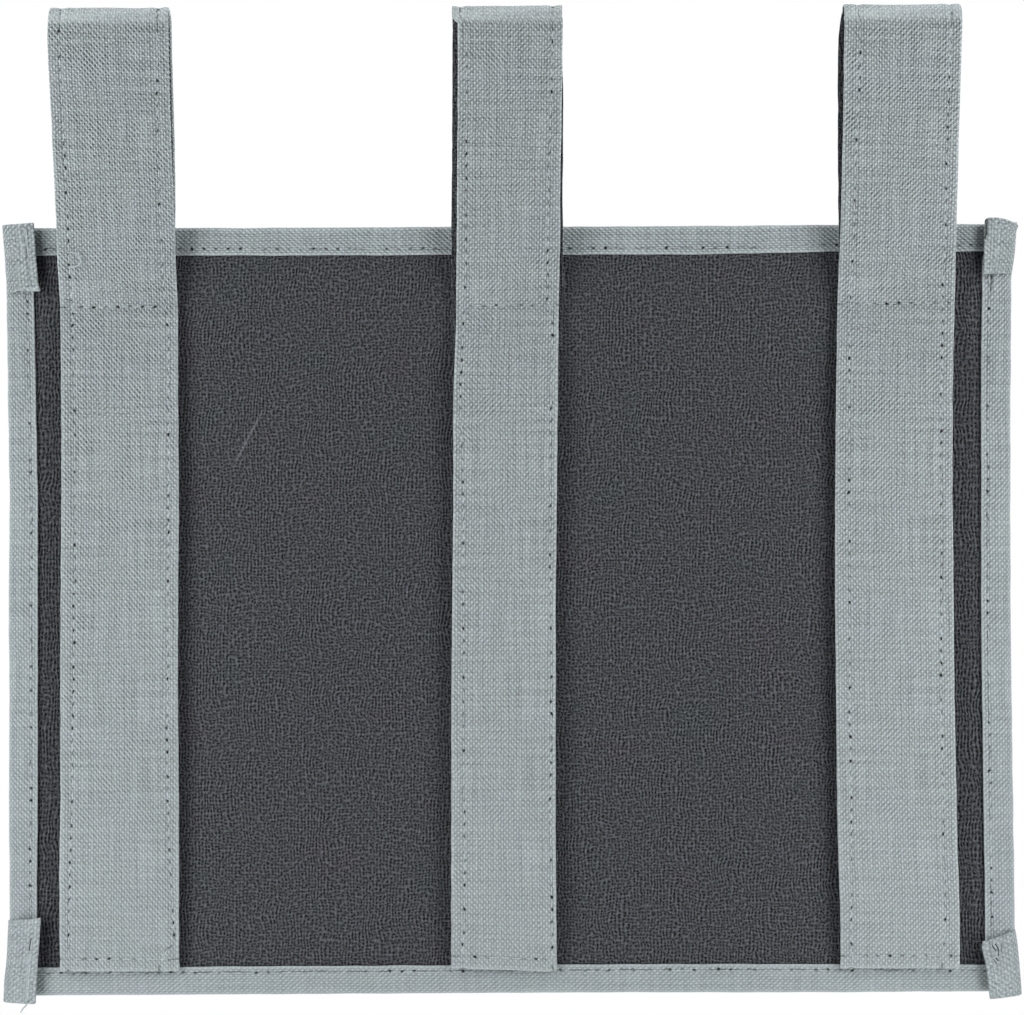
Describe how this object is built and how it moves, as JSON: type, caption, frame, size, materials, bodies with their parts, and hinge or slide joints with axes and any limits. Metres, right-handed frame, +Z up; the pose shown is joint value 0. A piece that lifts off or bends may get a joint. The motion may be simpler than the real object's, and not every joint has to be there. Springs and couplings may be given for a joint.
{
  "type": "hanging bedside caddy",
  "caption": "Cloth panel with pockets that hangs from a bed rail by sewn strap loops, bound on all sides, for books, glasses and remote controls.",
  "frame": {"origin": "inside the top of the middle loop, where the rail bears", "axes": "+Z up as it hangs, +X to the right as seen from the strap side, which faces -Y towards the bed; the pockets face +Y"},
  "size_m": [0.316, 0.0611, 0.3058],
  "materials": {
    "grey_oxford_cloth": "coarse woven grey polyester, matte",
    "grey_binding_tape": "folded woven grey polyester, matte",
    "dark_coated_reverse": "embossed dark grey coating on the back of the cloth, satin",
    "sewing_thread": "grey polyester thread"
  },
  "bodies": {
    "panel": {"left_strap": "grey_oxford_cloth", "middle_strap": "grey_oxford_cloth", "right_strap": "grey_oxford_cloth", "main_pocket": "grey_oxford_cloth", "left_pocket_gusset": "grey_oxford_cloth", "left_pocket_front": "grey_oxford_cloth", "middle_pocket_gusset": "grey_oxford_cloth", "middle_pocket_front": "grey_oxford_cloth", "right_pocket_gusset": "grey_oxford_cloth", "right_pocket_front": "grey_oxford_cloth", "top_binding": "grey_binding_tape", "bottom_binding": "grey_binding_tape", "left_binding": "grey_binding_tape", "right_binding": "grey_binding_tape", "main_pocket_binding": "grey_binding_tape", "left_pocket_binding": "grey_binding_tape", "middle_pocket_binding": "grey_binding_tape", "right_pocket_binding": "grey_binding_tape", "back_panel": "dark_coated_reverse"},
    "left_loop": {"left_loop": "grey_oxford_cloth"},
    "middle_loop": {"middle_loop": "grey_oxford_cloth"},
    "right_loop": {"right_loop": "grey_oxford_cloth"}
  },
  "joints": [
    {"name": "left_loop_bend", "type": "hinge", "parent": "panel", "child": "left_loop", "pos_m": [-0.1203, 0.01904, -0.0874], "axis": [1, 0, 0], "range_deg": [0, 150], "stiffness_Nm_per_rad": 0.01, "springref_deg": -5.73},
    {"name": "middle_loop_bend", "type": "hinge", "parent": "panel", "child": "middle_loop", "pos_m": [0, 0.01904, -0.0874], "axis": [1, 0, 0], "range_deg": [0, 150], "stiffness_Nm_per_rad": 0.01, "springref_deg": -5.73},
    {"name": "right_loop_bend", "type": "hinge", "parent": "panel", "child": "right_loop", "pos_m": [0.1216, 0.01904, -0.0874], "axis": [1, 0, 0], "range_deg": [0, 150], "stiffness_Nm_per_rad": 0.01, "springref_deg": -5.73}
  ]
}
